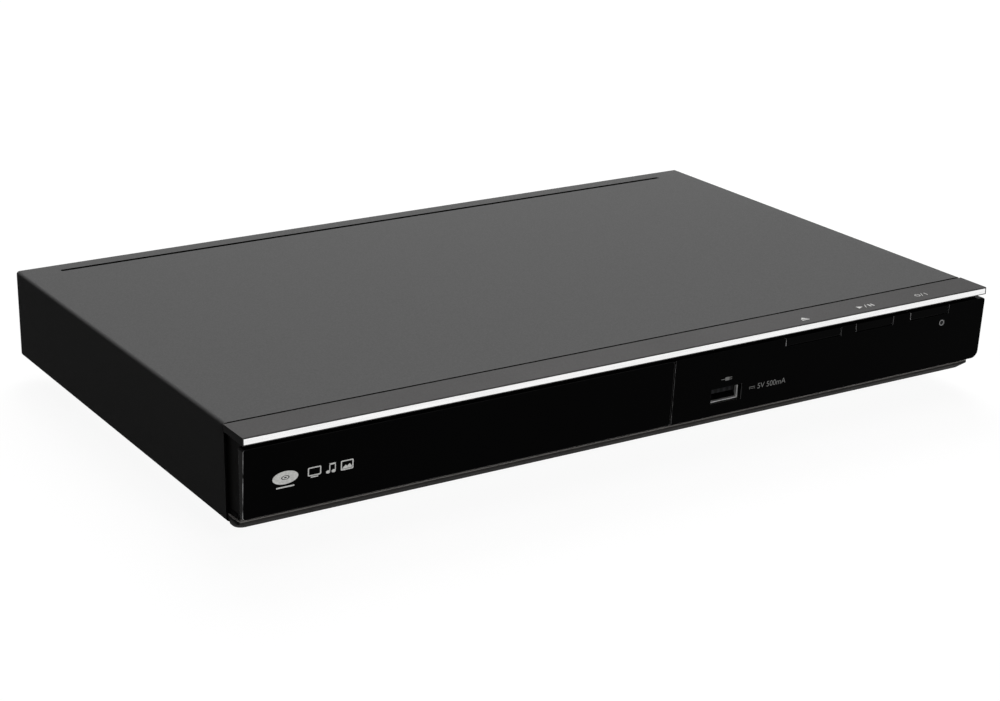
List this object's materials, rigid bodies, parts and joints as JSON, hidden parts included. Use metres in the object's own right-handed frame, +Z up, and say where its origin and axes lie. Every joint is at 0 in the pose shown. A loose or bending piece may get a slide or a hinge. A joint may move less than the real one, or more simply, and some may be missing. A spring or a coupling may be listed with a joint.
{
  "type": "disc player",
  "caption": "Slim table-top disc player: steel cover, gloss black front with a motor-driven disc tray, three long keys, USB socket and rear jacks.",
  "frame": {"origin": "on the table under the middle of the whole player, jacks included", "axes": "+X to the right when looking at the front, -Y out of the front, +Z up"},
  "size_m": [0.312, 0.209, 0.043],
  "materials": {
    "cover": "fine matte black paint",
    "screw_dark": "black plated",
    "zinc_steel": "zinc plated sheet",
    "rubber": "matte",
    "rear_sheet": "matte black paint",
    "frame_plastic": "satin moulded",
    "strip_plastic": "satin dark grey",
    "silver_trim": "bright silver",
    "gloss_black": "mirror gloss black",
    "key_plastic": "gloss black",
    "lens_plastic": "smoked clear",
    "board_green": "solder mask",
    "switch_plastic": "moulded",
    "lamp_epoxy": "clear epoxy",
    "lamp_dark": "dark epoxy",
    "shell_metal": "tin plated",
    "tongue_plastic": "moulded",
    "tray_plastic": "satin black",
    "loader_plastic": "moulded",
    "magnet": "nickel plated",
    "cradle_plastic": "moulded",
    "screw_steel": "bright",
    "motor_steel": "drawn steel",
    "rubber_grey": "matte",
    "die_cast": "die cast",
    "lens_glass": "coated lens",
    "gear_plastic": "natural acetal",
    "chip_epoxy": "epoxy",
    "capacitor_sleeve": "shrink sleeve",
    "jack_metal": "plated",
    "jack_plastic": "coloured, one colour each",
    "board_brown": "phenolic board",
    "transformer_tape": "yellow tape, dark bobbin",
    "heat_sink": "extruded",
    "fuse_glass": "glass with metal caps",
    "cable_foil": "flat foil"
  },
  "bodies": {
    "casing": {"top_cover": "cover", "rear_screws": "screw_dark", "chassis_pan": "zinc_steel", "foot_pads": "rubber", "rear_panel": "rear_sheet", "front_frame": "frame_plastic", "top_strip": "strip_plastic", "silver_trim": "silver_trim", "front_panel": "gloss_black", "indicator_lens": "lens_plastic", "front_board": "board_green", "tact_switches": "switch_plastic", "indicator_lamp": "lamp_epoxy", "remote_receiver": "lamp_dark", "usb_shell": "shell_metal", "usb_tongue": "tongue_plastic", "loader_frame": "loader_plastic", "clamp_bridge": "zinc_steel", "loading_motor": "motor_steel", "drive_belt": "rubber", "loader_screws": "screw_steel", "main_board": "board_green", "board_chips": "chip_epoxy", "board_capacitors": "capacitor_sleeve", "hdmi_socket": "shell_metal", "jack_block": "switch_plastic", "jack_sleeves": "jack_metal", "jack_inserts": "jack_plastic", "power_board": "board_brown", "transformer": "transformer_tape", "mains_capacitor": "capacitor_sleeve", "heat_sink": "heat_sink", "fuse": "fuse_glass", "mains_inlet": "switch_plastic", "inlet_pins": "shell_metal", "flat_cables": "cable_foil", "board_screws": "screw_steel"},
    "tray": {"disc_tray": "tray_plastic", "tray_door": "gloss_black"},
    "eject": {"eject_key": "key_plastic"},
    "play": {"play_key": "key_plastic"},
    "power": {"power_key": "key_plastic"},
    "drive": {"drive_gear": "gear_plastic"},
    "wheel": {"belt_wheel": "gear_plastic"},
    "motor_rotor": {"motor_pulley": "gear_plastic"},
    "slider": {"cam_slider": "gear_plastic"},
    "cradle": {"cradle": "cradle_plastic", "traverse_deck": "zinc_steel", "rubber_dampers": "rubber", "damper_screws": "screw_steel", "spindle_motor": "motor_steel", "guide_rods": "screw_steel", "sled_motor": "motor_steel"},
    "turntable": {"turntable": "loader_plastic", "turntable_pad": "rubber_grey"},
    "clamper": {"clamper": "loader_plastic", "clamp_magnet": "magnet"},
    "pickup": {"optical_pickup": "die_cast", "pickup_lens": "lens_glass"},
    "screw": {"lead_screw": "screw_steel"}
  },
  "joints": [
    {"name": "tray_slide", "type": "slide", "parent": "casing", "child": "tray", "axis": [0, -1, 0], "range_m": [0, 0.14]},
    {"name": "eject_press", "type": "slide", "parent": "casing", "child": "eject", "axis": [0, 1, 0], "range_m": [0, 0.0006], "stiffness_N_per_m": 1500},
    {"name": "play_press", "type": "slide", "parent": "casing", "child": "play", "axis": [0, 1, 0], "range_m": [0, 0.0006], "stiffness_N_per_m": 1500},
    {"name": "power_press", "type": "slide", "parent": "casing", "child": "power", "axis": [0, 1, 0], "range_m": [0, 0.0006], "stiffness_N_per_m": 1500},
    {"name": "drive_gear_turn", "type": "hinge", "parent": "casing", "child": "drive", "pos_m": [-0.10175, -0.068, 0.0156], "axis": [0, 0, 1], "range_deg": [0, 730.2]},
    {"name": "belt_wheel_turn", "type": "hinge", "parent": "casing", "child": "wheel", "pos_m": [-0.08055, -0.068, 0.0156], "axis": [0, 0, 1], "range_deg": [-1848.4, 0]},
    {"name": "motor_turn", "type": "hinge", "parent": "casing", "child": "motor_rotor", "pos_m": [-0.03575, -0.068, 0.02], "axis": [0, 0, 1], "range_deg": [-9378.6, 0]},
    {"name": "cam_slide", "type": "slide", "parent": "casing", "child": "slider", "axis": [1, 0, 0], "range_m": [0, 0.018]},
    {"name": "cradle_tilt", "type": "hinge", "parent": "casing", "child": "cradle", "pos_m": [-0.07275, 0.07015, 0.019], "axis": [1, 0, 0], "range_deg": [0, 2.6]},
    {"name": "disc_spin", "type": "hinge", "parent": "cradle", "child": "turntable", "pos_m": [-0.07275, -0.02185, 0.0324], "axis": [0, 0, 1], "continuous": true},
    {"name": "clamper_spin", "type": "hinge", "parent": "casing", "child": "clamper", "pos_m": [-0.07275, -0.02185, 0.0354], "axis": [0, 0, 1], "continuous": true},
    {"name": "pickup_slide", "type": "slide", "parent": "cradle", "child": "pickup", "axis": [0, 1, 0], "range_m": [0, 0.035]},
    {"name": "lead_screw_turn", "type": "hinge", "parent": "cradle", "child": "screw", "pos_m": [-0.04375, 0.00115, 0.0215], "axis": [0, 1, 0], "range_deg": [0, 4201]}
  ],
  "couplings": [
    {"joint": "drive_gear_turn", "follows": "tray_slide", "rad_per_m": 90.909},
    {"joint": "belt_wheel_turn", "follows": "tray_slide", "rad_per_m": -230.3},
    {"joint": "motor_turn", "follows": "tray_slide", "rad_per_m": -1168.6},
    {"joint": "cradle_tilt", "follows": "cam_slide", "rad_per_m": 2.521},
    {"joint": "lead_screw_turn", "follows": "pickup_slide", "rad_per_m": 2094.4}
  ]
}
